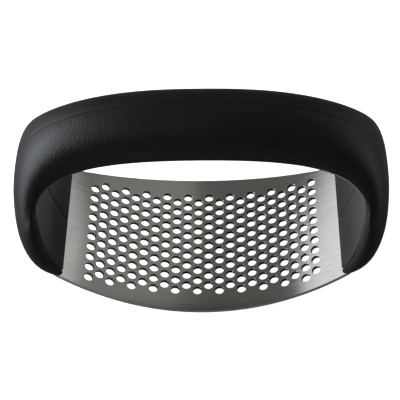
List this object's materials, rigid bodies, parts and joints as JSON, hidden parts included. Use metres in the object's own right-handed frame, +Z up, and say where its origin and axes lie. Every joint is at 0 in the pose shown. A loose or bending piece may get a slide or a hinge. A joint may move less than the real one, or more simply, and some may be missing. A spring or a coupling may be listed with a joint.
{
  "type": "garlic press",
  "caption": "Rocking garlic press: a curved perforated steel plate closed into a ring by a soft-grip arch handle.",
  "frame": {"origin": "lowest point of the press plate's underside, at the middle of the press, where it rocks on the board", "axes": "+X along the press, +Y from the front edge to the rear edge, +Z up through the handle's bar"},
  "size_m": [0.1184, 0.056, 0.0679],
  "materials": {
    "plate_steel": "satin stainless sheet, fine grain along the press, deburred holes",
    "frame_plastic": "black moulded plastic, fine spark texture",
    "grip_skin": "black soft-touch skin, low sheen",
    "dowel_steel": "ground pin"
  },
  "bodies": {
    "root": {"press_plate": "plate_steel", "front_core": "frame_plastic", "rear_core": "frame_plastic", "front_grip": "grip_skin", "rear_grip": "grip_skin", "dowel_pins": "dowel_steel"}
  },
  "joints": []
}
